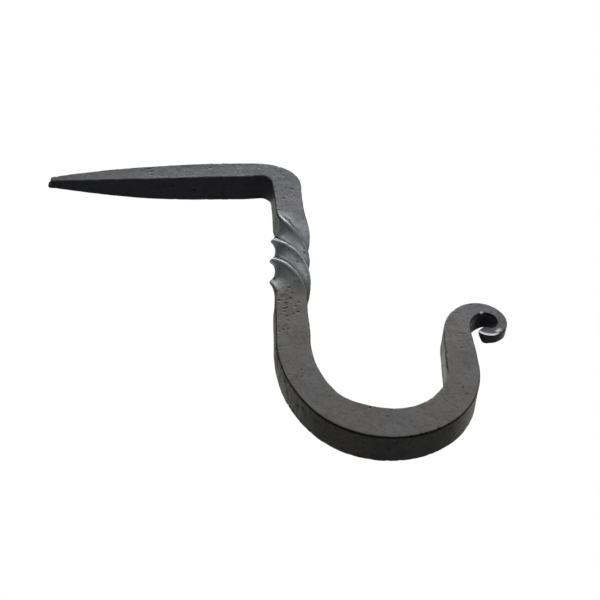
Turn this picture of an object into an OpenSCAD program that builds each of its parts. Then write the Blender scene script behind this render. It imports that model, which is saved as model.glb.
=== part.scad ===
// Hand-forged drive-in beam hook.
// One bar of square stock is drawn out to a spike, bent down at the shoulder, given a
// left-hand twist, bent round to a hook and rolled outwards into a small scroll.
// +Z is up, the bar lies in the XZ plane about Y = 0, and the spike points along -X into
// the beam. The origin is where the spike's axis passes through the beam's face, X = 0.
// Each module is the stretch of the bar between two forging stations. Neighbours meet
// face to face on the same cross-section, and nothing moves.

/* [Bar] */
// Side of the square stock
bar = 10; // [8:0.5:12]
// Flat worn along each long edge of the bar
arris = 0.6; // [0.3:0.1:1]

/* [Spike] */
// Distance from the beam's face to the tip
spike_len = 84; // [60:1:110]
// Height of the spike at its root
spike_root_h = 9.4; // [8:0.1:10]
// Height of the blunt tip
spike_tip_h = 2.8; // [2:0.1:4]
// Thickness of the blunt tip
spike_tip_t = 2.9; // [2:0.1:4]
// How full the sides are in height: 1 is a straight taper
spike_fullness_h = 2.7; // [1:0.1:4]
// How full the sides are in thickness: 1 is a straight taper
spike_fullness_t = 2.2; // [1:0.1:4]

/* [Shoulder and neck] */
// Bend radius of the shoulder, on the bar's centreline
shoulder_r = 10; // [8:0.5:14]
// Straight neck below the shoulder
neck_len = 16; // [8:1:30]

/* [Twist] */
// Quarter turns in the twist
twist_quarters = 3; // [1:1:4]
// Length of the twist, with its slow start and finish
twist_len = 46; // [36:1:70]

/* [Hook] */
// Straight shank below the twist
shank_len = 20.5; // [10:0.5:40]
// Radius of the easy bend that leads into the bowl, on the centreline
lead_r = 40; // [30:1:60]
// How far the easy bend turns
lead_turn = 36; // [20:1:45]
// Radius of the bowl, on the centreline
bowl_r = 23.5; // [18:0.5:32]
// Direction of the arm above the level: 90 is upright
arm_rise = 88; // [80:1:90]
// Straight part of the arm
arm_len = 13.5; // [6:0.5:20]
// Width of the bar where the arm leaves the bowl
arm_root_w = 9.1; // [8:0.1:10]
// Width of the bar where the arm meets the scroll
arm_top_w = 8.5; // [7:0.1:9]
// Thickness of the bar there
arm_top_t = 9.3; // [8:0.1:10]

/* [Scroll] */
// Tightest radius of the scroll, on the centreline
scroll_eye_r = 3.9; // [3.8:0.1:6]
// How much wider than that the scroll starts
scroll_open_r = 16; // [14:1:26]
// How fast the scroll tightens, for each radian that it turns
scroll_tighten = 1.1; // [1:0.1:1.6]
// How far the scroll turns from the arm to its tip
scroll_turn = 318; // [240:6:318]
// Width of the bar along the curled end
scroll_tip_w = 3.2; // [2.5:0.1:3.5]
// Thickness of the bar at the tip
scroll_tip_t = 3.5; // [3:0.1:5]

/* [Hidden] */

$fn = 96;
quarter_turn = 90;
axis_x = bar / 2;
spike_root_x = axis_x - shoulder_r - 6;
neck_top_z = -shoulder_r;
twist_top_z = neck_top_z - neck_len;
shank_top_z = twist_top_z - twist_len;
bowl_top_z = shank_top_z - shank_len;

// The bowl's lower arc stops part of the way up, where the arm's taper starts
bowl_stop_angle = 310;
lead_centre = [axis_x + lead_r, bowl_top_z];
lead_end_angle = 180 + lead_turn;
bowl_centre = lead_centre - (lead_r - bowl_r) * [cos(lead_turn), sin(lead_turn)];
arm_start_angle = 270 + arm_rise;
arm_foot = bowl_centre + bowl_r * [cos(arm_start_angle), sin(arm_start_angle)];
arm_top = arm_foot + arm_len * [cos(arm_rise), sin(arm_rise)];

spike_steps = 24;
shoulder_steps = 16;
twist_steps = 60;
arm_bend_steps = 12;
arm_steps = 4;
scroll_step_turn = 6;
scroll_steps = scroll_turn / scroll_step_turn;
// The scroll has its small end section for this last share of its turn
scroll_slim_share = 0.45;

// Iron with a dark waxed finish, and the lighter ground end of the scroll
forged_black = "#3d3d40";
forged_face = "#4b4b4e";
ground_end = "#8f9092";

// Cross-section of the bar: a rectangle whose corners the arris cuts off
function section(w, t) =
    let (a = min(arris, min(w, t) / 5))
    [
        [w / 2, -t / 2 + a],
        [w / 2, t / 2 - a],
        [w / 2 - a, t / 2],
        [a - w / 2, t / 2],
        [-w / 2, t / 2 - a],
        [-w / 2, a - t / 2],
        [a - w / 2, -t / 2],
        [w / 2 - a, -t / 2]
    ];

// A station is [x, z, heading, width, thickness, roll]: the section stands across the
// heading, its width in the hook's plane, and roll turns it about the heading.
function ring(s) =
    [
        for (q = section(s[3], s[4]))
            let (u = q.x * cos(s[5]) - q.y * sin(s[5]))
            let (v = q.x * sin(s[5]) + q.y * cos(s[5]))
            [s[0] - sin(s[2]) * u, v, s[1] + cos(s[2]) * u]
    ];

// A smooth step from 0 to 1 that starts and ends at rest
function ease(u) = u * u * (3 - 2 * u);

// A value that goes from a to b
function blend(a, b, u) = a + (b - a) * u;

// Height or thickness of the spike, at the share u of its length from root to tip
function spike_taper(root, tip, fullness, u) = blend(root, tip, pow(u, fullness));

// The bar carried through a list of stations, closed at both ends
module swept_bar(stations) {
    sides = len(section(1, 1));
    last = len(stations) - 1;
    points = [for (s = stations) each ring(s)];
    walls = [
        for (i = [0 : last - 1], k = [0 : sides - 1])
            let (a = i * sides + k)
            let (b = i * sides + (k + 1) % sides)
            each [[a, b, a + sides], [b, b + sides, a + sides]]
    ];
    start_cap = [for (k = [sides - 1 : -1 : 0]) k];
    end_cap = [for (k = [0 : sides - 1]) last * sides + k];
    polyhedron(points, concat(walls, [start_cap], [end_cap]));
}

// A straight upright length of the bar, from top_z downwards
module upright_bar(top_z, length) {
    translate([axis_x, 0, top_z - length])
    linear_extrude(length)
    polygon(section(bar, bar));
}

// The bar bent about a centre [x, z], from one angle to another
module bent_bar(centre, r, from_angle, to_angle) {
    translate([centre.x, 0, centre.y])
    rotate([90, 0, 0])
    rotate([0, 0, from_angle])
    rotate_extrude(angle = to_angle - from_angle)
    translate([r, 0])
    polygon(section(bar, bar));
}

// Spike: all four faces drawn down to a blunt point
module drive_spike() {
    stations = [
        for (i = [spike_steps : -1 : 0])
            let (u = i / spike_steps)
            let (h = spike_taper(spike_root_h, spike_tip_h, spike_fullness_h, u))
            let (t = spike_taper(bar, spike_tip_t, spike_fullness_t, u))
            [blend(spike_root_x, -spike_len, u), 0, 0, h, t, 0]
    ];
    color(forged_black)
    swept_bar(stations);
}

// Shoulder: a short full root and the right-angle bend down to the neck
module shoulder_bend() {
    root = [spike_root_x, 0, 0, spike_root_h, bar, 0];
    bend = [
        for (i = [0 : shoulder_steps])
            let (u = i / shoulder_steps)
            let (turned = u * 90)
            [
                axis_x - shoulder_r + shoulder_r * sin(turned),
                shoulder_r * (cos(turned) - 1),
                -turned,
                blend(spike_root_h, bar, ease(u)),
                bar,
                0
            ]
    ];
    color(forged_face)
    swept_bar(concat([root], bend));
}

// Neck: straight bar that lies against the beam's face
module neck() {
    color(forged_face)
    upright_bar(neck_top_z, neck_len);
}

// Twist: left-hand quarter turns that start and stop gently
module twist() {
    stations = [
        for (i = [0 : twist_steps])
            let (u = i / twist_steps)
            [axis_x, twist_top_z - u * twist_len, -90, bar, bar, ease(u) * twist_quarters * quarter_turn]
    ];
    color(forged_black)
    swept_bar(stations);
}

// Shank: straight bar between the twist and the bowl
module shank() {
    color(forged_face)
    upright_bar(shank_top_z, shank_len);
}

// Lead bend: the easy curve from the shank into the bowl
module lead_bend() {
    color(forged_face)
    bent_bar(lead_centre, lead_r, 180, lead_end_angle);
}

// Bowl: the round of the hook, where a load sits
module hook_bowl() {
    color(forged_face)
    bent_bar(bowl_centre, bowl_r, lead_end_angle, bowl_stop_angle);
}

// Arm: the bowl's rise and the straight length that thins towards the scroll
module hook_arm() {
    rise = [
        for (i = [0 : arm_bend_steps])
            let (u = i / arm_bend_steps)
            let (a = blend(bowl_stop_angle, arm_start_angle, u))
            let (p = bowl_centre + bowl_r * [cos(a), sin(a)])
            [p.x, p.y, a + 90, blend(bar, arm_root_w, ease(u)), bar, 0]
    ];
    straight = [
        for (i = [1 : arm_steps])
            let (u = i / arm_steps)
            let (p = arm_foot + u * (arm_top - arm_foot))
            [p.x, p.y, arm_rise, blend(arm_root_w, arm_top_w, u), blend(bar, arm_top_t, u * u), 0]
    ];
    color(forged_face)
    swept_bar(concat(rise, straight));
}

// Radius of the scroll once it has turned through an angle
function scroll_radius(turned) = scroll_eye_r + scroll_open_r * exp(-scroll_tighten * turned * PI / 180);

// Length of the chord of one step of the scroll
function scroll_chord(i) = 2 * scroll_radius((i + 0.5) * scroll_step_turn) * sin(scroll_step_turn / 2);

// Direction of the chord of one step of the scroll
function scroll_chord_dir(i) =
    let (a = arm_rise - (i + 0.5) * scroll_step_turn)
    [cos(a), sin(a)];

// Scroll: the thinned end rolled outwards, its tip blunt and ground
module scroll_tip() {
    stations = [
        for (
            i = 0, p = arm_top;
            i <= scroll_steps;
            p = p + scroll_chord(i) * scroll_chord_dir(i), i = i + 1
        )
            let (u = i / scroll_steps)
            let (slim = min(1, u / (1 - scroll_slim_share)))
            [
                p.x,
                p.y,
                arm_rise - i * scroll_step_turn,
                blend(arm_top_w, scroll_tip_w, sin(90 * slim)),
                blend(arm_top_t, scroll_tip_t, sin(90 * u)),
                0
            ]
    ];
    color(ground_end)
    swept_bar(stations);
}

drive_spike();
shoulder_bend();
neck();
twist();
shank();
lead_bend();
hook_bowl();
hook_arm();
scroll_tip();
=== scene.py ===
"""The finished look of a hand-forged, drive-in beam hook.

One bar of square iron is drawn to a spike, bent at the shoulder, twisted, bent to a hook and
rolled outwards into a scroll. Every stretch of the bar is a class that says where its
cross-sections lie. The sections of the whole bar are worked out as one grid, so that hammer
marks, edges and shading run on without a break from each named piece to the next. Lengths are in
millimetres until a mesh is made, and the meshes are in metres.
"""

import logging
import math
from abc import ABC, abstractmethod
from dataclasses import dataclass, field, fields
from enum import Enum
from typing import Any, ClassVar

import bpy
import numpy as np
from mathutils import Matrix, Vector
from numpy.typing import NDArray


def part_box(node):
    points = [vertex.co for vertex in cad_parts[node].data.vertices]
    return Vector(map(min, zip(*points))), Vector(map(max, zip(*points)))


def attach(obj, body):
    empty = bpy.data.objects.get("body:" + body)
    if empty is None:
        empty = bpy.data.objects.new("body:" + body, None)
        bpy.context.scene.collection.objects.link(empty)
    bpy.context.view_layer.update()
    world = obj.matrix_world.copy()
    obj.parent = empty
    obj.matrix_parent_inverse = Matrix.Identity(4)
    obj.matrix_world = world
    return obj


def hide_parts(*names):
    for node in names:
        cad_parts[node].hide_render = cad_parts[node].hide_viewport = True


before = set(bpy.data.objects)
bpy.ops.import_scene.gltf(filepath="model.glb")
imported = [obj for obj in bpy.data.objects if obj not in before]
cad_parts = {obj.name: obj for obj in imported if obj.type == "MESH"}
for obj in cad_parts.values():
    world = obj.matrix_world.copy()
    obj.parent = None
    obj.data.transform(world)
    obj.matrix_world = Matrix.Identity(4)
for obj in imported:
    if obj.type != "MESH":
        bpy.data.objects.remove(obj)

Floats = NDArray[np.float64]

log = logging.getLogger("beam_hook")

MM = 0.001
BODY = "root"


# --- small helpers --------------------------------------------------------------------------


def ease(u: Floats) -> Floats:
    """A smooth step from 0 to 1 that starts and ends at rest: 3u^2 - 2u^3."""
    return u * u * (3.0 - 2.0 * u)


def blend(a: float, b: float, u: Floats) -> Floats:
    """A straight change from a to b as u goes from 0 to 1."""
    return a + (b - a) * u


def swell(distance: Floats, width: float) -> Floats:
    """A bell that is 1 at distance 0 and dies away over the width."""
    return np.exp(-((distance / width) ** 2))


def share(values: Floats, start: float, end: float) -> Floats:
    """How far each value has come from start to end, held between 0 and 1."""
    return np.clip((values - start) / (end - start), 0.0, 1.0)


def steps_along(length: float, spacing: float) -> Floats:
    """Even shares from 0 to 1 that split a length into steps of about the spacing."""
    return np.linspace(0.0, 1.0, max(2, round(length / spacing)) + 1)


def lattice_noise(points: Floats, cell: float, seed: int) -> Floats:
    """Smooth random values between -1 and 1 at points in space.

    Each corner of a cubic lattice holds a random value, picked from a table by a hash of the
    corner's three whole numbers. A point takes the mean of its cell's eight corners, each weighted
    by the product of three quintic fades.

    Args:
        points: positions, with x, y and z along the last axis.
        cell: side of the lattice's cells, in the same unit.
        seed: picks the table of values.

    Returns:
        One value for each point.
    """
    table = np.random.default_rng(seed).uniform(-1.0, 1.0, 4096)
    scaled = points / cell
    corner = np.floor(scaled).astype(np.int64)
    part = scaled - corner
    fade = part**3 * (part * (part * 6.0 - 15.0) + 10.0)
    total = np.zeros(points.shape[:-1])
    for bits in range(8):
        step = np.array([bits & 1, (bits >> 1) & 1, (bits >> 2) & 1])
        key = (corner + step) * np.array([73856093, 19349663, 83492791])
        value = table[(key[..., 0] ^ key[..., 1] ^ key[..., 2]) & 4095]
        total += value * np.prod(np.where(step == 1, fade, 1.0 - fade), axis=-1)
    return total


def add_object(name: str, data: bpy.types.ID) -> bpy.types.Object:
    """Puts a new object with the data into the scene.

    Args:
        name: the object's name.
        data: its mesh, light or camera.

    Returns:
        The object.
    """
    made = bpy.data.objects.new(name, data)
    bpy.context.scene.collection.objects.link(made)
    return made


# --- the bar's cross-sections ---------------------------------------------------------------


@dataclass(frozen=True)
class Sections:
    """Cross-sections along a stretch of the bar, as arrays of one length.

    Attributes:
        x: centreline, across.
        z: centreline, up.
        heading: direction of the bar in the hook's plane, in radians above +X.
        left: half-width to the left of the heading.
        right: half-width to the right of the heading.
        half: half-thickness across the hook's plane.
        roll: turn of the section about the heading, in radians.
        edge: radius of the bar's four long edges.
        hollow: how far each face sinks between its edges.
        splay: how much further the right face stands out at the back than at the front.
        belly: how far the middle of the right face bulges.
        bevel: width ground off the front along its edge with the left face, at a shallow slant.
        groove: depth of the crease that the twist opens along one side of each ridge.
        rub: how bare the long edges are rubbed, from 0 to 1; on the twist's ridges it is partly a painted
            highlight.
        quarters: whole quarter turns that the bar has been twisted before this section.
    """

    x: Floats
    z: Floats
    heading: Floats
    left: Floats
    right: Floats
    half: Floats
    roll: Floats
    edge: Floats
    hollow: Floats
    splay: Floats
    belly: Floats
    bevel: Floats
    groove: Floats
    rub: Floats
    quarters: Floats

    @property
    def run(self) -> Floats:
        """Length along the centreline from the first section."""
        return np.concatenate([[0.0], np.cumsum(np.hypot(np.diff(self.x), np.diff(self.z)))])

    def joined(self, other: "Sections") -> "Sections":
        """This stretch and the next one, which starts on this one's last section.

        Args:
            other: the next stretch.

        Returns:
            Both stretches as one.
        """
        return Sections(
            *(np.concatenate([getattr(self, f.name), getattr(other, f.name)[1:]]) for f in fields(self))
        )


@dataclass(frozen=True)
class Outline:
    """The closed outline of a section, as a rectangle with rounded corners.

    It runs round the four sides from the left face. A point is a corner centre plus a radius
    along its outward direction: on a flat the centre slides and the direction stands still, and on
    a corner the centre stands still and the direction turns.

    Attributes:
        flat_points: points along each flat.
        corner_points: points round each corner.
    """

    flat_points: int = 34
    corner_points: int = 4

    def arrays(self) -> tuple[Floats, Floats, Floats, Floats]:
        """Works the outline out once for all sections.

        Returns:
            The corner centre and the outward direction of each point, both as (points, 2) arrays
            of shares, the place along its flat from -1 to 1, and 1 on flats or 0 on corners.
        """
        centres, ways, along, flat = [], [], [], []
        slide = np.linspace(-1.0, 1.0, self.flat_points)
        turn = np.linspace(0.0, math.pi / 2, self.corner_points + 2)[1:-1]
        for side in range(4):
            a = side * math.pi / 2
            out = np.array([math.cos(a), math.sin(a)])
            on = np.array([-math.sin(a), math.cos(a)])
            centres.append(out + slide[:, None] * on)
            ways.append(np.broadcast_to(out, (self.flat_points, 2)))
            along.append(slide)
            flat.append(np.ones(self.flat_points))
            centres.append(np.broadcast_to(out + on, (self.corner_points, 2)))
            ways.append(np.stack([np.cos(a + turn), np.sin(a + turn)], axis=1))
            along.append(np.ones(self.corner_points))
            flat.append(np.zeros(self.corner_points))
        return np.concatenate(centres), np.concatenate(ways), np.concatenate(along), np.concatenate(flat)


@dataclass(frozen=True)
class Dent:
    """A pit, nick or chip: a round hollow pressed into whatever surface passes through it.

    Attributes:
        place: centre, in millimetres.
        radius: how far it reaches.
        depth: how deep it is in the middle.
    """

    place: tuple[float, float, float]
    radius: float
    depth: float


def dent_depth(points: Floats, dents: list[Dent]) -> Floats:
    """How far all the dents press each point in: depth times (1 - (d / radius)^2)^2 for each.

    Args:
        points: positions, with x, y and z along the last axis.
        dents: the dents.

    Returns:
        One depth for each point.
    """
    total = np.zeros(points.shape[:-1])
    for dent in dents:
        gap = np.sum((points - np.array(dent.place)) ** 2, axis=-1) / dent.radius**2
        total += dent.depth * np.clip(1.0 - gap, 0.0, None) ** 2
    return total


# --- the stretches of the bar ---------------------------------------------------------------


@dataclass(frozen=True)
class Plan:
    """The stations of the bar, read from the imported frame, and the sizes they all share.

    Attributes:
        side: side of the square stock.
        spacing: distance between sections along the bar.
        edge: radius of the long edges.
        quarters: number of quarter turns in the twist.
        tip_x: where the spike ends.
        root_x: where the spike's taper starts.
        axis_x: the upright bar's centreline.
        neck_top, twist_top, shank_top, bowl_top: heights of the upright stations.
    """

    side: float
    tip_x: float
    root_x: float
    axis_x: float
    neck_top: float
    twist_top: float
    shank_top: float
    bowl_top: float
    spacing: float = 0.22
    edge: float = 0.4
    quarters: int = 3

    @classmethod
    def from_frame(cls) -> "Plan":
        """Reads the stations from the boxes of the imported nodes.

        Returns:
            The plan.
        """
        spike_low, spike_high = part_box("drive_spike")
        neck_low, neck_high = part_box("neck")
        shank_low, shank_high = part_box("shank")
        return cls(
            side=(neck_high.y - neck_low.y) / MM,
            tip_x=spike_low.x / MM,
            root_x=spike_high.x / MM,
            axis_x=(neck_low.x + neck_high.x) / 2 / MM,
            neck_top=neck_high.z / MM,
            twist_top=neck_low.z / MM,
            shank_top=shank_high.z / MM,
            bowl_top=shank_low.z / MM,
        )


@dataclass(frozen=True)
class Stretch(ABC):
    """A stretch of the bar between two forging stations, which becomes one named piece.

    Attributes:
        node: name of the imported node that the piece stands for.
        plan: the stations and shared sizes.
    """

    node: ClassVar[str]
    plan: Plan

    @abstractmethod
    def sections(self) -> Sections:
        """The cross-sections of this stretch, in order from the spike to the scroll."""

    def dents(self) -> list[Dent]:
        """Pits, nicks and chips of this stretch."""
        return []

    def work(self, points: Floats, run: Floats) -> Floats:
        """Moves the points for what only this stretch has, with their length from its start."""
        return points

    def bare_and_highlight_spots(self) -> list[Dent]:
        """Places of bare metal, ground ones and painted highlights alike: where, how wide, and how bare
        from 0 to 1.
        """
        return []

    def shade_spots(self) -> list[Dent]:
        """Places painted dark as shade: where, how wide, and how dark from 0 to 1."""
        return []

    def steps(self, length: float) -> Floats:
        """Even shares from 0 to 1 for a length of this stretch."""
        return steps_along(length, self.plan.spacing)

    def level(self, x: Floats, z: Floats, heading: Floats, **others: Floats | float) -> Sections:
        """Sections with the plain bar's sizes, apart from the ones named.

        Args:
            x: centreline, across.
            z: centreline, up.
            heading: direction, in radians.
            others: any other field of Sections, as an array or one number.

        Returns:
            The sections.
        """
        plain: dict[str, Floats | float] = {f.name: 0.0 for f in fields(Sections)}
        plain.update(left=self.plan.side / 2, right=self.plan.side / 2, half=self.plan.side / 2)
        plain.update(edge=self.plan.edge, x=x, z=z, heading=heading)
        plain.update(others)
        return Sections(**{k: np.broadcast_to(np.asarray(v, float), x.shape) for k, v in plain.items()})

    def upright(self, top: float, bottom: float, u: Floats, **others: Floats | float) -> Sections:
        """Sections straight down from the top to the bottom, at shares u of the way."""
        down = np.full_like(u, -math.pi / 2)
        return self.level(np.full_like(u, self.plan.axis_x), top - u * (top - bottom), down, **others)

    def arc(self, centre: Floats, radius: float, angle: Floats, **others: Floats | float) -> Sections:
        """Sections round a circle in the hook's plane, at angles in radians above +X."""
        x, z = centre[0] + radius * np.cos(angle), centre[1] + radius * np.sin(angle)
        return self.level(x, z, angle + math.pi / 2, **others)


@dataclass(frozen=True)
class DriveSpike(Stretch):
    """The four-sided point that is driven into the beam.

    Attributes:
        root_h, tip_h: height at the root and at the tip.
        tip_t: thickness at the tip.
        full_h, full_t: how full the taper is: the loss grows as that power of the length.
        extra: how much thicker than the stock the spike's middle is upset.
        splay, dip: how much the underside slopes down towards the back, along it and at its root.
        nose: length over which the tip is rounded off.
        split: how far the tip's back half stands out past its front half.
    """

    node: ClassVar[str] = "drive_spike"
    root_h: float = 9.4
    tip_h: float = 2.8
    tip_t: float = 2.9
    full_h: float = 2.7
    full_t: float = 2.3
    extra: float = 0.3
    splay: float = 0.4
    dip: float = 0.9
    nose: float = 0.5
    split: float = 1.1

    def sections(self) -> Sections:
        """Height and thickness fall away from the root as a power of the length.

        Returns:
            The cross-sections.
        """
        length = self.plan.root_x - self.plan.tip_x
        u = 1.0 - self.steps(length)
        high = blend(self.root_h, self.tip_h, u**self.full_h)
        thick = blend(self.plan.side, self.tip_t, u**self.full_t) + self.extra * np.sin(math.pi * u)
        rounding = 0.62 + 0.38 * np.sqrt(1.0 - (1.0 - share((1.0 - u) * length, 0.0, self.nose)) ** 2)
        return self.level(
            blend(self.plan.root_x, self.plan.tip_x, u),
            np.zeros_like(u),
            np.zeros_like(u),
            left=high / 2 * rounding,
            right=high / 2 * rounding,
            half=thick / 2 * rounding,
            hollow=0.08 * (1.0 - u),
            splay=blend(self.dip, self.splay, share(1.0 - u, 1.0, 0.7)) * (1.0 - u**3),
        )

    def work(self, points: Floats, run: Floats) -> Floats:
        """Splits the tip: the back half is pushed out, and a notch is left between the halves.

        Args:
            points: the stretch's grid of points.
            run: length along the centreline at each section.

        Returns:
            The moved points.
        """
        near = np.exp(-run / 2.2)[:, None]
        y = points[..., 1]
        lobe = np.where(y > 0.1, self.split, 0.1) - 0.75 * self.split * swell(y - 0.05, 0.28)
        moved = points.copy()
        moved[..., 0] -= near * lobe
        moved[..., 2] -= near * 0.35 * np.clip(y, 0.0, None)
        return moved

    def dents(self) -> list[Dent]:
        """A few hammer nicks on the underside and on the front's upper edge.

        Returns:
            The dents.
        """
        return [
            Dent((-30.0, 0.5, -4.7), 1.3, 0.16),
            Dent((-19.5, 1.6, -4.8), 1.0, 0.20),
            Dent((-38.0, -1.5, -4.5), 1.1, 0.14),
            Dent((-24.0, -4.9, 1.5), 0.9, 0.12),
            Dent((-46.0, -4.4, 0.6), 1.2, 0.12),
        ]


@dataclass(frozen=True)
class ShoulderBend(Stretch):
    """The full root of the spike and the right-angle bend down to the neck.

    Attributes:
        radius: bend radius on the centreline.
        root_h: height where it joins the spike.
        thinning: how much the outside of the bend is drawn in.
        gather: how much the inside of the bend fills out at its foot.
        pinch: how much the underside is drawn in just before the bend.
        dip, flare: how much the inside slopes out towards the back at the root and at the foot.
    """

    node: ClassVar[str] = "shoulder_bend"
    radius: float = 10.0
    root_h: float = 9.4
    thinning: float = 0.6
    gather: float = 0.55
    pinch: float = 0.8
    dip: float = 0.9
    flare: float = 0.6

    @property
    def run(self) -> float:
        """Length of the straight root before the bend."""
        return self.plan.axis_x - self.radius - self.plan.root_x

    @property
    def length(self) -> float:
        """Length of the root and the bend together."""
        return self.run + self.radius * math.pi / 2

    def inner_gather(self, along: Floats) -> Floats:
        """How far the inside of the bend stands out, with the length from the shoulder's start."""
        return self.gather * swell(along - self.length + 1.0, 5.0)

    def sections(self) -> Sections:
        """A straight run, then a quarter circle whose outside thins and whose inside gathers.

        Returns:
            The cross-sections.
        """
        along = self.steps(self.length) * self.length
        turned = np.clip(along - self.run, 0.0, None) / self.radius
        base = blend(self.root_h / 2, self.plan.side / 2, ease(share(along, 0.0, self.length)))
        return self.level(
            self.plan.root_x + np.minimum(along, self.run) + self.radius * np.sin(turned),
            self.radius * (np.cos(turned) - 1.0),
            -turned,
            left=base - self.thinning * swell(along - self.run - 5.0, 6.5),
            right=base - self.pinch * swell(along - self.run - 0.5, 4.5) + self.inner_gather(along),
            hollow=0.08 * (1.0 - share(along, 0.0, self.run)),
            splay=blend(self.dip, self.flare, ease(share(along, self.run, self.length))),
        )


@dataclass(frozen=True)
class Neck(Stretch):
    """Straight bar against the beam's face.

    Attributes:
        shoulder: the bend above, whose gathered inside dies away in the neck.
        flare: how much the beam side slopes out towards the back at the neck's foot.
    """

    node: ClassVar[str] = "neck"
    shoulder: ShoulderBend
    flare: float = 1.1

    def sections(self) -> Sections:
        """An upright stretch.

        Returns:
            The cross-sections.
        """
        length = self.plan.neck_top - self.plan.twist_top
        u = self.steps(length)
        return self.upright(
            self.plan.neck_top, self.plan.twist_top, u,
            right=self.plan.side / 2 + self.shoulder.inner_gather(self.shoulder.length + u * length),
            splay=blend(self.shoulder.flare, self.flare, u),
        )

    def dents(self) -> list[Dent]:
        """Light marks on the front."""
        return [Dent((6.5, -5.0, -13.0), 1.2, 0.10), Dent((3.2, -5.0, -19.0), 0.9, 0.10)]


@dataclass(frozen=True)
class Twist(Stretch):
    """Left-hand quarter turns that start and stop gently.

    Attributes:
        spread: how much the stock is upset as it is twisted.
        hollow: how far the faces sink between the ridges.
        ridge: radius of the ridges, which the twist rounds into beads.
        crease: depth of the crease above each ridge, along which a dark line is painted as shade.
        rub: how bare the ridges are rubbed, which also paints a highlight along the beads.
        above, below: how much the beam side slopes out towards the back at either end.
    """

    node: ClassVar[str] = "twist"
    above: float = 1.1
    below: float = 0.8
    spread: float = 0.2
    hollow: float = 0.18
    ridge: float = 1.2
    crease: float = 0.12
    rub: float = 0.16

    def sections(self) -> Sections:
        """An upright stretch whose roll follows the smooth step, so the ends are at rest.

        The slope of the beam side fades out as the section starts to roll. At the foot it comes
        back on the outline's own side that has by then come round to the beam.

        Returns:
            The cross-sections.
        """
        length = self.plan.twist_top - self.plan.shank_top
        u = steps_along(length, self.plan.spacing * 0.8)
        rate = 4.0 * u * (1.0 - u)
        half = self.plan.side / 2 + self.spread * rate
        return self.upright(
            self.plan.twist_top, self.plan.shank_top, u,
            left=half,
            right=half,
            half=half,
            roll=ease(u) * self.plan.quarters * math.pi / 2,
            hollow=self.hollow * rate**1.5,
            edge=self.plan.edge + (self.ridge - self.plan.edge) * rate,
            splay=self.above * (1.0 - ease(share(u, 0.0, 0.14))),
            groove=self.crease * ease(share(rate, 0.1, 0.75)) * ease(share(1.0 - u, 0.16, 0.34)),
            rub=self.rub * ease(share(rate, 0.3, 0.9)),
        )

    def work(self, points: Floats, run: Floats) -> Floats:
        """Slopes the beam side out towards the back at the twist's foot.

        Args:
            points: the stretch's grid of points.
            run: length along the centreline at each section.

        Returns:
            The moved points.
        """
        moved = points.copy()
        half = self.plan.side / 2
        beam_side = share(self.plan.axis_x - points[..., 0], half - 1.2, half)
        back = 0.5 + np.clip(points[..., 1] / self.plan.side, -0.5, 0.5)
        moved[..., 0] -= self.below * ease(share(run, 0.78 * run[-1], run[-1]))[:, None] * beam_side * back
        return moved


@dataclass(frozen=True)
class Shank(Stretch):
    """Straight bar between the twist and the hook.

    Attributes:
        slope: how much the beam side slopes out towards the back.
        belly: how far the middle of the beam side bulges.
        swelling: how much the other side fills out above the bend.
    """

    node: ClassVar[str] = "shank"
    slope: float = 0.3
    belly: float = 0.6
    swelling: float = 0.4

    def sections(self) -> Sections:
        """An upright stretch.

        Returns:
            The cross-sections.
        """
        u = self.steps(self.plan.shank_top - self.plan.bowl_top)
        return self.upright(
            self.plan.shank_top, self.plan.bowl_top, u,
            left=self.plan.side / 2 + self.swelling * ease(share(u, 0.35, 0.85)),
            splay=self.slope,
            belly=self.belly * ease(share(u, 0.0, 0.3)),
            quarters=self.plan.quarters,
        )


@dataclass(frozen=True)
class LeadBend(Stretch):
    """The easy curve from the shank into the bowl.

    Attributes:
        radius: bend radius on the centreline.
        turn: how far it turns, in degrees.
        slope, slope_end: how much the outer side slopes out towards the back at either end.
        belly: how far the middle of the outer side bulges where the bend starts.
        swelling: how much the inside fills out where the bend starts.
    """

    node: ClassVar[str] = "lead_bend"
    radius: float = 40.0
    turn: float = 36.0
    slope: float = 0.3
    slope_end: float = 0.4
    belly: float = 0.6
    swelling: float = 0.4

    @property
    def centre(self) -> Floats:
        """Centre of the bend, as x and z."""
        return np.array([self.plan.axis_x + self.radius, self.plan.bowl_top])

    def sections(self) -> Sections:
        """A circular arc from straight down.

        Returns:
            The cross-sections.
        """
        u = self.steps(self.radius * math.radians(self.turn))
        angle = np.radians(180.0 + u * self.turn)
        return self.arc(
            self.centre, self.radius, angle,
            left=self.plan.side / 2 + self.swelling * (1.0 - ease(share(u, 0.1, 0.8))),
            splay=blend(self.slope, self.slope_end, ease(u)),
            belly=self.belly * (1.0 - ease(u)),
            quarters=self.plan.quarters,
        )

    def dents(self) -> list[Dent]:
        """File and hammer marks on the outer wall.

        Returns:
            The dents.
        """
        draw = np.random.default_rng(5)
        angle = np.radians(draw.uniform(196.0, 214.0, 12))
        reach = self.radius + self.plan.side / 2
        x = self.centre[0] + reach * np.cos(angle)
        z = self.centre[1] + reach * np.sin(angle)
        y = draw.uniform(-4.0, 4.0, 12)
        return [Dent((a, b, c), 1.1, 0.10) for a, b, c in zip(x, y, z, strict=True)]


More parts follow.
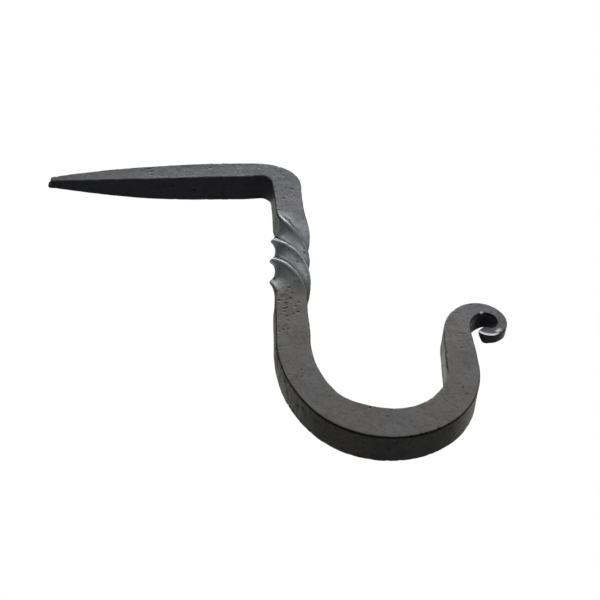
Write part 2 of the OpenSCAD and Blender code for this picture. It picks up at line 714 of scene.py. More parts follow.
@dataclass(frozen=True)
class HookBowl(Stretch):
    """The round of the hook, where a load sits.

    Attributes:
        lead: the easy bend before it.
        radius: bend radius on the centreline.
        stop: the angle where the arm's taper starts, in degrees round the bowl's centre.
        upset: how much the inside of the bend is thickened where it is tightest.
        slope: how much the outer side slopes out towards the back.
    """

    node: ClassVar[str] = "hook_bowl"
    lead: LeadBend
    radius: float = 23.5
    stop: float = 310.0
    upset: float = 0.85
    slope: float = 0.4

    @property
    def start(self) -> float:
        """The angle where the bowl starts, in degrees."""
        return 180.0 + self.lead.turn

    @property
    def centre(self) -> Floats:
        """Centre of the bowl: on the line from the lead bend's end to that bend's centre."""
        a = math.radians(self.start)
        return self.lead.centre + (self.lead.radius - self.radius) * np.array([math.cos(a), math.sin(a)])

    def sections(self) -> Sections:
        """A circular arc.

        Returns:
            The cross-sections.
        """
        sweep = self.stop - self.start
        u = self.steps(self.radius * math.radians(sweep))
        angle = np.radians(self.start + u * sweep)
        spread = self.upset * swell(np.degrees(angle) - 254.0, 30.0)
        return self.arc(
            self.centre, self.radius, angle,
            left=self.plan.side / 2 + spread * ease(share(u, 0.0, 0.35)),
            splay=self.slope,
            quarters=self.plan.quarters,
        )

    def rim(self, angle: float, reach: float, y: float) -> tuple[float, float, float]:
        """A place round the bowl, from its angle in degrees, its radius and its depth."""
        a = math.radians(angle)
        return (self.centre[0] + reach * math.cos(a), y, self.centre[1] + reach * math.sin(a))

    def dents(self) -> list[Dent]:
        """Chips along the outer front edge, and specks on the inner one.

        Returns:
            The dents.
        """
        outer = self.radius + self.plan.side / 2
        inner = self.radius - self.plan.side / 2
        chips = [(279, 0.5, 0.16), (285, 0.7, 0.20), (288, 0.5, 0.16), (296, 0.8, 0.20), (303.5, 0.6, 0.18)]
        made = [Dent(self.rim(a, outer, -5.0), r, d) for a, r, d in chips]
        made += [Dent(self.rim(a, inner, -5.0), 0.6, 0.2) for a in (252.0, 271.0)]
        return made


@dataclass(frozen=True)
class HookArm(Stretch):
    """The rise out of the bowl and the straight that thins towards the scroll.

    Attributes:
        bowl: the bowl before it.
        rise: direction of the straight, in degrees above the level.
        length: length of the straight.
        root_w: width where the straight starts.
        top_w: width where the scroll starts.
        top_t: thickness there.
        brim: how much the inner wall fills out where the straight starts.
    """

    node: ClassVar[str] = "hook_arm"
    bowl: HookBowl
    rise: float = 88.0
    length: float = 13.5
    root_w: float = 9.1
    top_w: float = 8.5
    top_t: float = 9.3
    brim: float = 0.4

    @property
    def foot(self) -> Floats:
        """Where the straight starts, as x and z."""
        a = math.radians(270.0 + self.rise)
        return self.bowl.centre + self.bowl.radius * np.array([math.cos(a), math.sin(a)])

    @property
    def top(self) -> Floats:
        """Where the scroll starts, as x and z."""
        a = math.radians(self.rise)
        return self.foot + self.length * np.array([math.cos(a), math.sin(a)])

    def sections(self) -> Sections:
        """The rest of the bowl's arc, then the straight, both getting narrower.

        Returns:
            The cross-sections.
        """
        sweep = 270.0 + self.rise - self.bowl.stop
        u = self.steps(self.bowl.radius * math.radians(sweep))
        angle = np.radians(self.bowl.stop + u * sweep)
        width = blend(self.plan.side, self.root_w, ease(u))
        bend = self.arc(
            self.bowl.centre, self.bowl.radius, angle,
            left=width / 2 + self.brim * swell(1.0 - u, 0.5),
            right=width / 2,
            splay=self.bowl.slope * (1.0 - ease(u)),
            quarters=self.plan.quarters,
        )
        v = self.steps(self.length)
        width = blend(self.root_w, self.top_w, v)
        straight = self.level(
            blend(self.foot[0], self.top[0], v),
            blend(self.foot[1], self.top[1], v),
            np.full_like(v, math.radians(self.rise)),
            left=width / 2 + self.brim * swell(v, 0.8),
            right=width / 2,
            half=blend(self.plan.side, self.top_t, v * v) / 2,
            quarters=self.plan.quarters,
        )
        return bend.joined(straight)

    def dents(self) -> list[Dent]:
        """A cold shut down the inner front edge, and a nick above it.

        Returns:
            The dents.
        """
        x, z = self.foot
        left = x - self.root_w / 2 - self.brim
        sway = [0.0, 0.35, 0.55, 0.4, 0.1, -0.1, 0.1, 0.4, 0.6, 0.5]
        spots = [(left + 0.05, -4.4 + 1.2 * a, z - 1.5 + 0.75 * i) for i, a in enumerate(sway)]
        fold = [Dent(spot, 0.62, 0.3) for spot in spots]
        return fold + [Dent((left + 0.5, -4.0, z + 9.5), 0.8, 0.35)]

    def bare_and_highlight_spots(self) -> list[Dent]:
        """Painted light: a little bare steel over the inner wall, which makes that lit side lighter.

        Returns:
            The bare spots.
        """
        x, z = self.foot
        left = x - self.root_w / 2
        # Painted light on the inner wall, laid on as a faint spread of bare steel.
        return [Dent((left, 0.0, z + 1.5 * i), 5.5, 0.07) for i in range(-2, 7)]


@dataclass(frozen=True)
class ScrollTip(Stretch):
    """The thinned end, rolled outwards into a small scroll whose tip is ground bare.

    Its radius of curvature is eye + opening * exp(-tighten * turned), with the angle turned in
    radians, so it tightens quickly at first and then holds nearly round.

    Attributes:
        arm: the arm before it.
        eye: tightest radius, on the centreline.
        opening: how much wider than that it starts.
        tighten: how fast it closes.
        turn: how far it turns, in degrees.
        tip_w: width along the curled end.
        tip_t: thickness at the tip.
        slim: share of the turn over which it gets narrower.
        nose: length over which the tip is rounded off.
        lip: how much the inside of the curl's end is spread.
        bevel: width ground off the outer front edge of the curl's end.
        slant: how much shorter the tip's back is than its front.
    """

    node: ClassVar[str] = "scroll_tip"
    arm: HookArm
    eye: float = 3.9
    opening: float = 16.0
    tighten: float = 1.1
    turn: float = 318.0
    tip_w: float = 3.2
    tip_t: float = 3.5
    slim: float = 0.55
    nose: float = 0.5
    lip: float = 0.35
    bevel: float = 0.95
    slant: float = 2.3

    def sections(self) -> Sections:
        """Turns the heading evenly and steps along it by the radius of curvature.

        Returns:
            The cross-sections.
        """
        turned = np.linspace(0.0, math.radians(self.turn), 420)
        middle = (turned[1:] + turned[:-1]) / 2
        step = turned[1] - turned[0]
        radius = self.eye + self.opening * np.exp(-self.tighten * middle)
        way = math.radians(self.arm.rise) - middle
        x = self.arm.top[0] + np.concatenate([[0.0], np.cumsum(radius * step * np.cos(way))])
        z = self.arm.top[1] + np.concatenate([[0.0], np.cumsum(radius * step * np.sin(way))])
        run = np.concatenate([[0.0], np.cumsum(radius * step)])
        u = turned / turned[-1]
        width = blend(self.arm.top_w, self.tip_w, np.sin(math.pi / 2 * np.minimum(1.0, u / self.slim)))
        thick = blend(self.arm.top_t, self.tip_t, np.sin(math.pi / 2 * u))
        left_over = share(run[-1] - run, 0.0, self.nose)
        rounding = 0.75 + 0.25 * np.sqrt(1.0 - (1.0 - left_over) ** 2)
        even = np.interp(self.steps(run[-1]) * run[-1], run, np.arange(run.size))

        def at(values: Floats) -> Floats:
            """Takes the values at sections evenly spaced along the bar."""
            return np.interp(even, np.arange(run.size), values)

        return self.level(
            at(x),
            at(z),
            at(math.radians(self.arm.rise) - turned),
            left=at(width * rounding) / 2,
            right=at(width * rounding * (1.0 + self.lip * ease(share(u, 0.78, 0.92)))) / 2,
            half=at(thick * (0.5 + 0.5 * rounding)) / 2,
            bevel=at(self.bevel * ease(share(u, 0.70, 0.82))),
            quarters=self.plan.quarters,
        )

    def work(self, points: Floats, run: Floats) -> Floats:
        """Cuts the tip on the slant, so that its back is shorter than its front.

        Args:
            points: the stretch's grid of points.
            run: length along the centreline at each section.

        Returns:
            The moved points.
        """
        near = swell(run[-1] - run, 2.6)[:, None]
        deep = share(points[..., 1], -self.tip_t / 2, self.tip_t / 2)
        end = math.radians(self.arm.rise - self.turn)
        moved = points.copy()
        moved[..., 0] -= self.slant * near * deep**2 * math.cos(end)
        moved[..., 2] -= self.slant * near * deep**2 * math.sin(end)
        return moved

    def bare_and_highlight_spots(self) -> list[Dent]:
        """A ground patch on the front of the curl, and a painted highlight of bare steel on the upper lip
        of its eye.

        Returns:
            The bare spots.
        """
        return [
            Dent((69.7, -1.9, -85.4), 1.1, 0.6),
            Dent((68.9, -1.9, -85.9), 0.9, 0.6),
            # Painted highlight: a bright spot of bare steel on the eye's upper inner edge.
            Dent((65.0, -3.3, -79.2), 0.9, 0.8),
        ]

    def shade_spots(self) -> list[Dent]:
        """Painted shade inside the eye, where little light reaches."""
        return [Dent((65.8, 3.0, -81.6), 7.2, 3.5)]


# --- the skin of the whole bar --------------------------------------------------------------


@dataclass
class ForgedBar:
    """The whole bar: its sections carried into one grid of points, and cut into named pieces.

    Attributes:
        stretches: the stretches in order, from the spike to the scroll.
        outline: the outline that every section shares.
        hammer: height of the broad, shallow hammer marks.
        planish: height of the finer marks over them.
        erosion: how far the long edges are eroded in places.
        pitting: depth of the corrosion pits.
        stroke: height of the hammer and file strokes on the outer wall.
        bow: how far the neck leans out of true.
        droop: how far the spike's tip hangs below its axis.
        hem_in, hem_width: where the painted shade line down the walls' front lies, from the front, and its
            width.
        crease_near, crease_far: where the twist's crease, and the painted shade line along it, lie on a
            face when shallow and when deep.
        crease_width: its width, as a share of half the face.
        starts: the first section of each stretch.
        points, normals: the finished grid.
        headings: direction of the bar at each section.
        masks: what the finish reads: edges, pit wax with painted shade, bare metal with painted highlights
            and painted light, and the tones of the scale, of which the twist's is painted light.
    """

    stretches: list[Stretch]
    outline: Outline = field(default_factory=Outline)
    hammer: float = 0.09
    planish: float = 0.03
    erosion: float = 0.10
    pitting: float = 0.16
    stroke: float = 0.09
    bow: float = 0.8
    droop: float = 1.35
    hem_in: float = 0.40
    hem_width: float = 0.42
    crease_near: float = 0.82
    crease_far: float = 0.52
    crease_width: float = 0.17
    starts: NDArray[np.int64] = field(init=False)
    points: Floats = field(init=False)
    normals: Floats = field(init=False)
    headings: Floats = field(init=False)
    masks: dict[str, Floats] = field(init=False)

    def build(self) -> None:
        """Works out the grid: points, outward normals, and the masks for the finish."""
        parts = [s.sections() for s in self.stretches]
        self.starts = np.concatenate([[0], np.cumsum([p.x.size - 1 for p in parts])])
        whole = parts[0]
        for part in parts[1:]:
            whole = whole.joined(part)
        points, outward, edge, ground, painted_shade = self.carry(whole)
        dents = [dent for stretch in self.stretches for dent in stretch.dents()]
        spots = [spot for stretch in self.stretches for spot in stretch.bare_and_highlight_spots()]
        # Spots of painted shade, such as the dark inside of the scroll's eye.
        shade_spots = [shade_spot for stretch in self.stretches for shade_spot in stretch.shade_spots()]
        sunk = dent_depth(points, dents) + self.pits(points)
        marks = self.hammer * lattice_noise(points, 8.0, 3)
        marks += self.planish * lattice_noise(points, 2.6, 4) + self.strokes(points, outward)
        marks -= self.erosion * edge * np.clip(lattice_noise(points, 1.7, 6), 0.0, None)
        # Bare metal, with the painted highlights and painted light laid on as bare steel.
        bare = np.clip(ground + dent_depth(points, spots), 0.0, 1.0)
        points = points + outward * (marks - sunk)[..., None]
        for index, (stretch, part) in enumerate(zip(self.stretches, parts, strict=True)):
            here = slice(self.starts[index], self.starts[index + 1] + 1)
            points[here] = stretch.work(points[here], part.run)
        # Pit wax, plus painted shade along the creases, down the walls' front edges and inside the eye.
        wax = np.clip(sunk / 0.2 + painted_shade + np.clip(dent_depth(points, shade_spots), 0.0, 0.8), 0.0, 1.0)
        self.masks = {"edge": edge, "sunk": wax, "bare": bare, **self.tones(points)}
        self.points = self.out_of_true(points)
        self.normals = self.grid_normals(self.points)
        self.headings = whole.heading

    def tones(self, points: Floats) -> dict[str, Floats]:
        """Where the scale is bluer, where it is darker on the spike, and where the twist is made lighter as
        painted light.

        Args:
            points: positions, with x, y and z along the last axis.

        Returns:
            The masks by name.
        """
        x, z = points[..., 0], points[..., 2]
        return {
            "temper": share(z, -66.0, -36.0) + 0.4 * share(x, 50.0, 60.0),
            "thick": share(z, -30.0, -4.0) * share(z - 0.4 * x, -30.0, -12.0),
            # Painted light: the twist is coloured lighter where its turned faces catch the light.
            "worn": share(z, -26.0, -34.0) * share(z, -68.0, -58.0),
        }

    def pits(self, points: Floats) -> Floats:
        """Depth of the pitting that corrosion left on the shank and here and there elsewhere.

        A fine noise is cut off above a level, so only its peaks become pits. The level is lower
        in a soft patch on the front of the shank, on the side towards the beam.

        Args:
            points: positions, with x, y and z along the last axis.

        Returns:
            One depth for each point.
        """
        x, y, z = points[..., 0], points[..., 1], points[..., 2]
        patch = swell(x - 3.6, 3.0) * swell(z + 78.0, 11.0) * share(-y, 2.0, 4.0)
        fine = 0.6 * lattice_noise(points, 0.9, 8) + 0.4 * lattice_noise(points, 0.55, 9)
        return self.pitting * np.clip(fine + 0.42 * patch - 0.5, 0.0, 0.3) / 0.3

    def strokes(self, points: Floats, outward: Floats) -> Floats:
        """Hammer and file strokes across the outer wall of the lead bend and the bowl's start.

        Args:
            points: positions, with x, y and z along the last axis.
            outward: outward directions of the points.

        Returns:
            One height for each point.
        """
        wall = share(-outward[..., 0] - outward[..., 2], 0.6, 0.9)
        wall = wall * share(0.3 - np.abs(outward[..., 1]), 0.0, 0.2)
        here = wall * swell(points[..., 2] + 108.0, 14.0) * share(30.0 - points[..., 0], 0.0, 14.0)
        return self.stroke * here * lattice_noise(points * np.array([1.0, 0.16, 1.0]), 1.2, 10)

    def carry(self, s: Sections) -> tuple[Floats, Floats, Floats, Floats, Floats]:
        """Carries the outline along the sections.

        A point of the outline lies at a share of the half-width and half-thickness, less the edge
        radius, plus the edge radius along its outward direction. Flats sink by
        hollow * (1 - place^4), and by the twist's crease. Sections past a twist start their outline as
        many sides further round as it has quarter turns, so that every point carries straight on. The
        result is rolled about the heading, and stands on the centreline along the section's left
        direction and +Y.

        Args:
            s: the sections of the whole bar.

        Returns:
            Points and outward directions as (sections, outline, 3) arrays, and three masks: the
            edges, the bare metal of the bevel and of the rubbed ridges, which is partly a painted
            highlight, and the painted shade along the creases and the walls' front edges.
        """
        centre, way, place, flat = self.outline.arrays()
        s = Sections(*(getattr(s, f.name)[:, None] for f in fields(s)))
        count = place.size
        start = np.round(s.quarters * count / 4).astype(int)
        order = (np.arange(count) + start) % count
        centre, way, place, flat = centre[order], way[order], place[order], flat[order]
        smallest = np.minimum(np.minimum(s.left, s.right), s.half)
        edge = np.minimum(s.edge, 0.45 * smallest)
        reach = np.where(centre[..., 0] >= 0.0, s.left, s.right)
        crease_at = blend(self.crease_near, self.crease_far, share(s.groove, 0.0, 0.10))
        line = flat * swell(place + crease_at, self.crease_width)
        crease = s.groove * line
        sink = s.hollow * flat * (1.0 - place**4) + crease
        across = centre[..., 0] * (reach - edge) + way[..., 0] * (edge - sink)
        depth = centre[..., 1] * (s.half - edge) + way[..., 1] * (edge - sink)
        back = centre[..., 1] * 0.5 + 0.5
        on_right = np.clip(-centre[..., 0], 0.0, 1.0)
        bulge = s.belly * (1.0 - centre[..., 1] ** 2)
        across = across - on_right * (s.splay * back + bulge)
        lean = np.array([0.36, 0.93])
        from_front = depth + s.half
        past = lean[0] * (across - s.left + s.bevel) - lean[1] * from_front
        over = np.where(s.bevel > 0.0, np.clip(past, 0.0, None), 0.0)
        across, depth = across - lean[0] * over, depth + lean[1] * over
        from_front = depth + s.half
        # Painted shade: a dark line down each side wall just behind its front edge, where the wall turns
        # into shadow.
        wall = np.where(centre[..., 0] < 0.0, 1.0, 0.7) * (np.abs(way[..., 0]) > 0.1)
        low = share(-s.z, 11.0, 17.0) * (1.0 - s.rub)
        hem_shade = wall * swell(from_front - self.hem_in, self.hem_width) * low
        # Painted shade: the walls' front line and the dark line along each twist crease, darkened like pit
        # wax.
        painted_shade = np.maximum(hem_shade * (s.bevel < 0.3), 0.95 * line * share(s.groove, 0.0, 0.04))
        # Bare metal of the ground bevel and of the rubbed ridges; on the twist's beads this is partly a
        # painted highlight.
        ground = np.maximum(share(over, 0.02, 0.12), s.rub * (1.0 - flat))
        turn, still = np.sin(s.roll), np.cos(s.roll)
        u, v = across * still - depth * turn, across * turn + depth * still
        du, dv = way[..., 0] * still - way[..., 1] * turn, way[..., 0] * turn + way[..., 1] * still
        left_x, left_z = -np.sin(s.heading), np.cos(s.heading)
        points = np.stack([s.x + left_x * u, v, s.z + left_z * u], axis=-1)
        outward = np.stack([left_x * du, dv, left_z * du], axis=-1)
        to_edge = (1.0 - np.abs(place)) * flat * smallest
        return points, outward, swell(to_edge, 0.3), ground, painted_shade

    def out_of_true(self, points: Floats) -> Floats:
        """Leans the neck and lets the spike droop, as a smooth bend of the space they are in.

        Args:
            points: positions, with x, y and z along the last axis.

        Returns:
            The moved points.
        """
        moved = points.copy()
        near_beam = share(25.0 - points[..., 0], 0.0, 10.0)
        moved[..., 0] += self.bow * swell(points[..., 2] + 31.0, 9.5) * near_beam
        moved[..., 2] -= self.droop * ease(share(points[..., 0], -6.0, -50.0))
        return moved

    @staticmethod
    def grid_normals(points: Floats) -> Floats:
        """Unit normals of the grid: the cross product of its two directions of travel.

        Args:
            points: the grid, as (sections, outline, 3).

        Returns:
            One normal for each point.
        """
        along = np.gradient(points, axis=0)
        around = np.roll(points, -1, axis=1) - np.roll(points, 1, axis=1)
        normal = np.cross(along, around)
        return normal / np.maximum(np.linalg.norm(normal, axis=-1, keepdims=True), 1e-12)

    def piece(self, index: int) -> bpy.types.Object:
        """Makes the mesh of one stretch, closed by a flat cap at each end.

        Args:
            index: which stretch.

        Returns:
            The new object, at the origin, riding on the body and standing for its node.
        """
        stretch = self.stretches[index]
        first, last = self.starts[index], self.starts[index + 1]
        grid = self.points[first : last + 1]
        rows, round_ = grid.shape[:2]
        count = rows * round_
        i, j = np.meshgrid(np.arange(rows - 1), np.arange(round_), indexing="ij")
        a = (i * round_ + j).ravel()
        b = (i * round_ + (j + 1) % round_).ravel()
        walls = np.stack([a, a + round_, b + round_, b], axis=1)
        k = np.arange(round_)
        nxt = (k + 1) % round_
        start_cap = np.stack([np.full(round_, count), k, nxt], axis=1)
        end = (rows - 1) * round_
        end_cap = np.stack([np.full(round_, count + 1), end + nxt, end + k], axis=1)
        verts = np.concatenate([grid.reshape(-1, 3), grid[:1].mean(axis=1), grid[-1:].mean(axis=1)]) * MM
        mesh = bpy.data.meshes.new(stretch.node + "_forged")
        mesh.from_pydata(verts.tolist(), [], walls.tolist() + start_cap.tolist() + end_cap.tolist())
        smooth = np.concatenate([np.ones(len(walls), bool), np.zeros(2 * round_, bool)])
        mesh.polygons.foreach_set("use_smooth", smooth)
        normals = self.normals[first : last + 1].reshape(-1, 3)
        caps = [self.cap_normal(first, -1.0), self.cap_normal(last, 1.0)]
        loops = np.concatenate(
            [normals[walls.ravel()], np.repeat(caps[:1], 3 * round_, 0), np.repeat(caps[1:], 3 * round_, 0)]
        )
        mesh.normals_split_custom_set(loops.tolist())
        for name, mask in self.masks.items():
            values = np.concatenate([mask[first : last + 1].ravel(), mask[first, :1], mask[last, :1]])
            layer = mesh.attributes.new(name, "FLOAT", "POINT")
            layer.data.foreach_set("value", values.astype(np.float32))
        made = add_object(stretch.node + "_forged", mesh)
        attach(made, BODY)
        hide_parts(stretch.node)
        return made

    def cap_normal(self, row: int, way: float) -> Floats:
        """Normal of the flat cap on a section: along the bar's heading, forwards or back."""
        heading = self.headings[row]
        return way * np.array([math.cos(heading), 0.0, math.sin(heading)])


# --- finishes -------------------------------------------------------------------------------


def linear(hex_colour: str) -> tuple[float, float, float, float]:
    """An sRGB colour such as "#3a3b3d" as linear red, green, blue and alpha.

    Args:
        hex_colour: the colour.

    Returns:
        Red, green, blue and alpha, each from 0 to 1.
    """
    parts = [int(hex_colour[i : i + 2], 16) / 255 for i in (1, 3, 5)]
    low = [c / 12.92 if c <= 0.04045 else ((c + 0.055) / 1.055) ** 2.4 for c in parts]
    return (low[0], low[1], low[2], 1.0)


def add_node(
    tree: bpy.types.NodeTree,
    kind: str,
    inputs: dict[str | int, Any] | None = None,
    **settings: Any,
) -> bpy.types.Node:
    """Adds a shader node.

    Args:
        tree: the node tree.
        kind: the node's type, such as "ShaderNodeTexNoise".
        inputs: what each input gets: another node's output to link, or a value to set.
        settings: the node's own properties.

    Returns:
        The node.
    """
    made = tree.nodes.new(kind)
    for name, value in settings.items():
        setattr(made, name, value)
    for key, value in (inputs or {}).items():
        if isinstance(value, bpy.types.NodeSocket):
            tree.links.new(value, made.inputs[key])
        else:
            made.inputs[key].default_value = value
    return made


class Grit(Enum):
    """Sizes of the finish's patterns, in millimetres."""

    CLOUD = 22.0
    BLOTCH = 4.5
    SCALE = 1.3
    GRAIN = 0.55

    @property
    def frequency(self) -> float:
        """The pattern's scale on coordinates in metres."""
        return 1.0 / (self.value * MM)


@dataclass(frozen=True)
class WaxedForgeScale:
    """Black forge scale under wax, as left on hot-worked iron and rubbed with hot wax.

    The scale is a thin, dark, half-metallic oxide skin, so it gives a soft grey sheen where it
    faces the light and goes nearly black where it doesn't. Edges are rubbed a little brighter, pits
    hold matt dark wax, and ground places show bare steel. The same matt dark is painted as shade
    along the twist's creases, down the walls' front edges and inside the scroll's eye. Bare steel is
    laid on as a painted highlight on the eye's lip and partly on the twist's ridges, and as painted
    light on the arm's inner wall. The twist's lighter tone is painted light.

    Attributes:
        name: the material's name.
        blue_scale, brown_scale: the two tones that drift into each other.
        thick_scale: the darker tone of the spike, taken as thicker scale.
        worn_scale: painted light, a lighter tone on the twist that stands in for how light falls on its
            turned faces.
        pit_wax: colour of the wax in pits, also used for the painted shade.
        rubbed: colour of the rubbed edges.
        steel: colour of bare steel, also used for painted highlights and painted light.
        sheen_metal: how metallic the scale is.
        rough: middle roughness.
        relief: height of the grain, in millimetres. The real grain is finer than this shows.
    """

    name: str
    blue_scale: str = "#57585e"
    brown_scale: str = "#53514e"
    thick_scale: str = "#404146"
    worn_scale: str = "#7f8284"
    pit_wax: str = "#171614"
    rubbed: str = "#77756f"
    steel: str = "#d8d9da"
    sheen_metal: float = 0.55
    rough: float = 0.47
    relief: float = 0.065

    def make(self) -> bpy.types.Material:
        """Builds the material's nodes.

        Returns:
            The material.
        """
        made = bpy.data.materials.new(self.name)
        made.use_nodes = True
        tree = made.node_tree
        tree.nodes.clear()
        place = add_node(tree, "ShaderNodeTexCoord").outputs["Object"]

        def noise(size: Grit, detail: float, rough: float) -> bpy.types.NodeSocket:
            """A noise of the given size, read at object coordinates."""
            inputs = {"Vector": place, "Scale": size.frequency, "Detail": detail, "Roughness": rough}
            return add_node(tree, "ShaderNodeTexNoise", inputs).outputs["Fac"]

        def remap(value: Any, a: float, b: float, c: float, d: float) -> bpy.types.NodeSocket:
            """Maps a to b onto c to d, and holds the ends."""
            inputs = {"Value": value, "From Min": a, "From Max": b, "To Min": c, "To Max": d}
            return add_node(tree, "ShaderNodeMapRange", inputs).outputs["Result"]

        def maths(how: str, a: Any, b: Any) -> bpy.types.NodeSocket:
            """One sum on two values."""
            return add_node(tree, "ShaderNodeMath", {0: a, 1: b}, operation=how).outputs[0]

        def mix(fac: Any, a: Any, b: Any) -> bpy.types.NodeSocket:
            """Colour a turning to colour b."""
            return add_node(tree, "ShaderNodeMix", {0: fac, 6: a, 7: b}, data_type="RGBA").outputs[2]

        def mask(layer: str) -> bpy.types.NodeSocket:
            """One of the mesh's own masks."""
            return add_node(tree, "ShaderNodeAttribute", attribute_name=layer).outputs["Fac"]

        cloud = noise(Grit.CLOUD, 2.0, 0.5)
        blotch = noise(Grit.BLOTCH, 4.0, 0.6)
        scale = noise(Grit.SCALE, 4.0, 0.65)
        grain = noise(Grit.GRAIN, 3.0, 0.7)
        drift = maths("ADD", mask("temper"), remap(cloud, 0.35, 0.65, -0.35, 0.35))
        tone = mix(drift, linear(self.brown_scale), linear(self.blue_scale))
        thick = mix(mask("thick"), tone, linear(self.thick_scale))
        # Painted light: the twist takes a lighter colour for the light on its turned faces.
        with_twist_light = mix(mask("worn"), thick, linear(self.worn_scale))
        dark = mix(remap(blotch, 0.45, 0.75, 0.0, 0.30), with_twist_light, linear(self.pit_wax))
        flecked = mix(remap(scale, 0.52, 0.72, 0.0, 0.45), dark, linear(self.pit_wax))
        bright = mix(remap(grain, 0.55, 0.8, 0.0, 0.30), flecked, linear(self.rubbed))
        rub = maths("MULTIPLY", mask("edge"), remap(scale, 0.54, 0.66, 0.0, 0.7))
        edged = mix(rub, bright, linear(self.rubbed))
        # Pit wax and painted shade, both laid on in the same matt dark colour.
        pitted_and_shaded = mix(mask("sunk"), edged, linear(self.pit_wax))
        bare = mask("bare")
        colour = mix(bare, pitted_and_shaded, linear(self.steel))
        patchy = remap(scale, 0.35, 0.65, self.rough - 0.05, self.rough + 0.09)
        rough = maths("ADD", patchy, maths("MULTIPLY", bare, -0.12))
        # Where there is neither pit wax nor painted shade, the scale keeps its metal, specular and coat;
        # both go matt and dark.
        clear_of_wax_and_shade = maths("SUBTRACT", 1.0, mask("sunk"))
        metal = maths("MAXIMUM", bare, maths("MULTIPLY", clear_of_wax_and_shade, self.sheen_metal))
        height = maths("ADD", scale, maths("MULTIPLY", grain, 0.5))
        lift = {"Height": height, "Distance": self.relief * MM, "Strength": 1.0}
        bump = add_node(tree, "ShaderNodeBump", lift)
        skin = add_node(
            tree,
            "ShaderNodeBsdfPrincipled",
            {
                "Base Color": colour,
                "Roughness": rough,
                "Metallic": metal,
                "Specular IOR Level": maths("MULTIPLY", clear_of_wax_and_shade, 0.5),
                "Coat Weight": maths("MULTIPLY", clear_of_wax_and_shade, 0.12),
                "Coat Roughness": 0.35,
                "Normal": bump.outputs["Normal"],
            },
        )
        add_node(tree, "ShaderNodeOutputMaterial", {"Surface": skin.outputs["BSDF"]})
        return made


@dataclass(frozen=True)
class PaleFloor:
    """A plain pale studio floor, painted matt, a long way below the hook."""

    name: str = "matt_floor_paint"
    colour: str = "#f4f3f1"

    def make(self) -> bpy.types.Material:
        """Builds the matt paint.

        Returns:
            The material.
        """
        made = bpy.data.materials.new(self.name)
        made.use_nodes = True
        skin = made.node_tree.nodes["Principled BSDF"]
        skin.inputs["Base Color"].default_value = linear(self.colour)
        skin.inputs["Roughness"].default_value = 0.9
        return made


# --- studio ---------------------------------------------------------------------------------


@dataclass(frozen=True)
class Camera:
    """The camera, below and in front of the hook, looking up at it.

    Attributes:
        aim: the point it looks at, in metres.
        distance: from the aim, in metres.
        azimuth, elevation, roll: in degrees. Azimuth 0 looks along +Y.
        lens: focal length, for a sensor 36 mm wide.
    """

    aim: tuple[float, float, float] = (0.00796, 0.0, -0.06887)
    distance: float = 0.2922
    azimuth: float = -3.17
    elevation: float = -48.52
    roll: float = -2.53
    lens: float = 54.0

    def make(self) -> None:
        """Makes the camera and gives it to the scene."""
        a, e = math.radians(self.azimuth), math.radians(self.elevation)
        back = Vector((math.sin(a) * math.cos(e), -math.cos(a) * math.cos(e), math.sin(e)))
        data = bpy.data.cameras.new("camera")
        data.lens = self.lens
        data.sensor_width = 36.0
        data.clip_start = 0.01
        data.clip_end = 20.0
        made = add_object("camera", data)
        right = Vector((math.cos(a), math.sin(a), 0.0))
        up = back.cross(right)
        turn = Matrix((right, up, back)).transposed().to_4x4()
        spin = Matrix.Rotation(math.radians(self.roll), 4, "Z")
        made.matrix_world = Matrix.Translation(Vector(self.aim) + back * self.distance) @ turn @ spin
        bpy.context.scene.camera = made


@dataclass(frozen=True)
class SoftBox:
    """A square soft light that faces the hook.

    Attributes:
        name: the light's name.
        way: direction from the hook to the light.
        distance: from the hook, in metres.
        side: side of the box, in metres.
        power: in watts.
        tint: colour of the light.
    """

    name: str
    way: tuple[float, float, float]
    distance: float
    side: float
    power: float
    tint: str = "#ffffff"

    def make(self, aim: Vector) -> None:
        """Makes the light, turned to the point it lights.

        Args:
            aim: the point, in metres.
        """
        data = bpy.data.lights.new(self.name, "AREA")
        data.shape = "SQUARE"
        data.size = self.side
        data.energy = self.power
        data.color = linear(self.tint)[:3]
        made = add_object(self.name, data)
        way = Vector(self.way).normalized()
        made.location = aim + way * self.distance
        made.rotation_euler = way.to_track_quat("Z", "Y").to_euler()


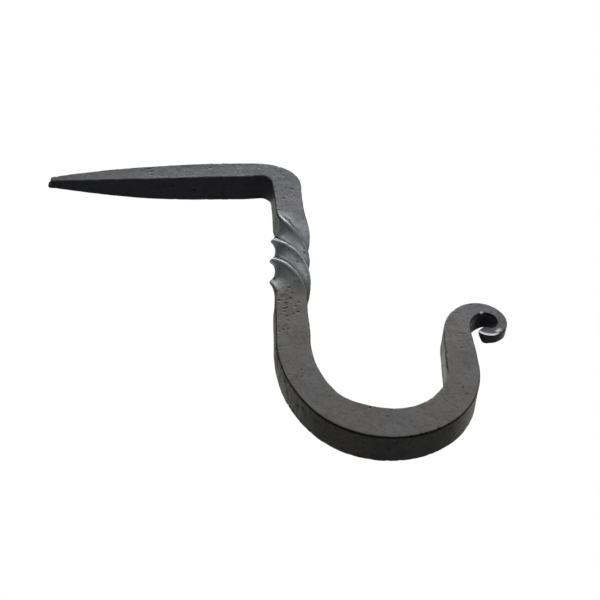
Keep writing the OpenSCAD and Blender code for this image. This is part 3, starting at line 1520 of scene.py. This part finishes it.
@dataclass(frozen=True)
class Studio:
    """Plain soft studio light, a white surround and a pale floor.

    Attributes:
        aim: the point that the lights face.
        floor_z: height of the floor, in metres.
        floor_side: side of the floor, in metres.
        fill: strength of the even grey light from all round.
        sun_power, sun_angle: of the broad light from above, in W/m2 and degrees.
    """

    aim: tuple[float, float, float] = (0.0, 0.0, -0.06)
    floor_z: float = -0.9
    floor_side: float = 60.0
    fill: float = 0.133
    sun_power: float = 2.6
    sun_angle: float = 40.0

    def lights(self) -> list[SoftBox]:
        """The soft boxes.

        Returns:
            The boxes.
        """
        return [
            SoftBox("front_box", (0.0, -0.8, 0.6), 1.2, 1.6, 6.0, "#f8f9ff"),
            SoftBox("level_box", (0.0, -1.0, 0.0), 1.2, 1.6, 2.0),
            SoftBox("right_front_box", (0.75, -0.6, 0.3), 1.2, 1.2, 6.5),
            SoftBox("left_front_box", (-0.75, -0.6, 0.3), 1.2, 1.2, 1.2),
            SoftBox("back_box", (-0.1, 0.75, 0.65), 1.0, 0.9, 1.3, "#ffffee"),
            SoftBox("left_back_box", (-0.75, 0.6, 0.3), 0.9, 0.5, 0.25, "#ffffee"),
            SoftBox("right_back_box", (0.75, 0.6, 0.3), 0.9, 0.5, 0.45, "#ffffee"),
            SoftBox("rear_box", (0.0, 1.0, 0.15), 1.2, 0.9, 7.0),
        ]

    def make(self) -> None:
        """Makes the world, the lights and the floor."""
        world = bpy.data.worlds.new("white_surround")
        bpy.context.scene.world = world
        world.use_nodes = True
        tree = world.node_tree
        tree.nodes.clear()
        seen = add_node(tree, "ShaderNodeLightPath").outputs["Is Camera Ray"]
        even = add_node(tree, "ShaderNodeBackground", {"Color": linear("#ffffff"), "Strength": self.fill})
        white = add_node(tree, "ShaderNodeBackground", {"Color": linear("#ffffff"), "Strength": 1.0})
        both = add_node(tree, "ShaderNodeMixShader", {0: seen, 1: even.outputs[0], 2: white.outputs[0]})
        add_node(tree, "ShaderNodeOutputWorld", {"Surface": both.outputs[0]})
        for box in self.lights():
            box.make(Vector(self.aim))
        self.overhead()
        self.floor()

    def overhead(self) -> None:
        """A broad light from straight above, which the floor and the tops of the hook get."""
        data = bpy.data.lights.new("overhead", "SUN")
        data.energy = self.sun_power
        data.angle = math.radians(self.sun_angle)
        add_object("overhead", data)

    def floor(self) -> None:
        """The floor, seen by the camera alone, so that it throws no light up at the hook."""
        half = self.floor_side / 2
        corners = [(-half, -half), (half, -half), (half, half), (-half, half)]
        mesh = bpy.data.meshes.new("floor")
        mesh.from_pydata([(x, y, self.floor_z) for x, y in corners], [], [(0, 1, 2, 3)])
        made = add_object("floor", mesh)
        made.data.materials.append(PaleFloor().make())
        made.visible_diffuse = False
        made.visible_glossy = False


# --- putting it together --------------------------------------------------------------------


def forged_bar() -> ForgedBar:
    """The bar's stretches in order, each one starting where the last one ends.

    Returns:
        The bar, not yet built.
    """
    plan = Plan.from_frame()
    shoulder = ShoulderBend(plan)
    lead = LeadBend(plan)
    bowl = HookBowl(plan, lead)
    arm = HookArm(plan, bowl)
    stretches: list[Stretch] = [
        DriveSpike(plan),
        shoulder,
        Neck(plan, shoulder),
        Twist(plan),
        Shank(plan),
        lead,
        bowl,
        arm,
        ScrollTip(plan, arm),
    ]
    return ForgedBar(stretches)


def main() -> None:
    """Builds the studio and the hook."""
    logging.basicConfig(level=logging.INFO, format="%(name)s: %(message)s")
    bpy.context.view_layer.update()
    Camera().make()
    Studio().make()
    bpy.context.scene.view_settings.view_transform = "Standard"
    bar = forged_bar()
    bar.build()
    scale = WaxedForgeScale("waxed_forge_scale").make()
    ground = WaxedForgeScale("waxed_forge_scale_ground").make()
    for index, stretch in enumerate(bar.stretches):
        made = bar.piece(index)
        is_scroll = isinstance(stretch, ScrollTip)
        made.data.materials.append(ground if is_scroll else scale)
        log.info("%s: %d faces", made.name, len(made.data.polygons))


if __name__ == "__main__":
    main()
